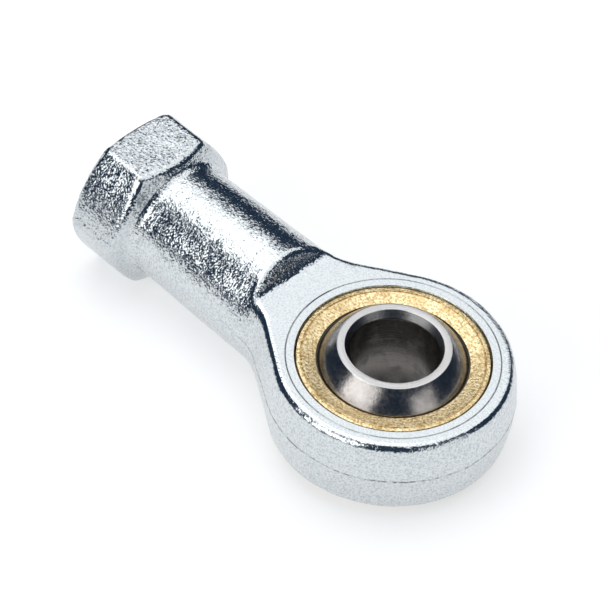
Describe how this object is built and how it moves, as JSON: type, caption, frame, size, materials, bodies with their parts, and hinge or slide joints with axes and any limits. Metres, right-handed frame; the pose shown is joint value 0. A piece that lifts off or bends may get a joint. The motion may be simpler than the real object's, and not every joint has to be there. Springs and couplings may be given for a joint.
{
  "type": "rod end bearing",
  "caption": "Rod end bearing with an internal thread: a round shank and hexagon carry an eye whose ball tilts and turns in a lined brass race.",
  "frame": {"origin": "under the middle of the whole object, level with the lower flat of the hexagon", "axes": "+X from the threaded end towards the eye, +Z along the ball's bore at rest, +Y across the eye"},
  "size_m": [0.0572, 0.0284, 0.017],
  "materials": {
    "zinc_plated_steel": "forged and machined, bright zinc plate",
    "turned_brass": "turned, slightly mottled",
    "woven_ptfe": "thin woven PTFE bonded in the race, dull",
    "polished_steel": "hardened, ground and polished sphere with turned faces"
  },
  "bodies": {
    "housing": {"rod_end_housing": "zinc_plated_steel", "brass_race": "turned_brass"},
    "liner": {"ptfe_liner": "woven_ptfe"},
    "ball": {"ball": "polished_steel"}
  },
  "joints": [
    {"name": "ball_spin", "type": "hinge", "parent": "housing", "child": "liner", "pos_m": [0.0144, 0, 0.0085], "axis": [0, 0, 1], "continuous": true},
    {"name": "ball_tilt", "type": "hinge", "parent": "liner", "child": "ball", "pos_m": [0.0144, 0, 0.0085], "axis": [1, 0, 0], "range_deg": [-13, 13]}
  ]
}
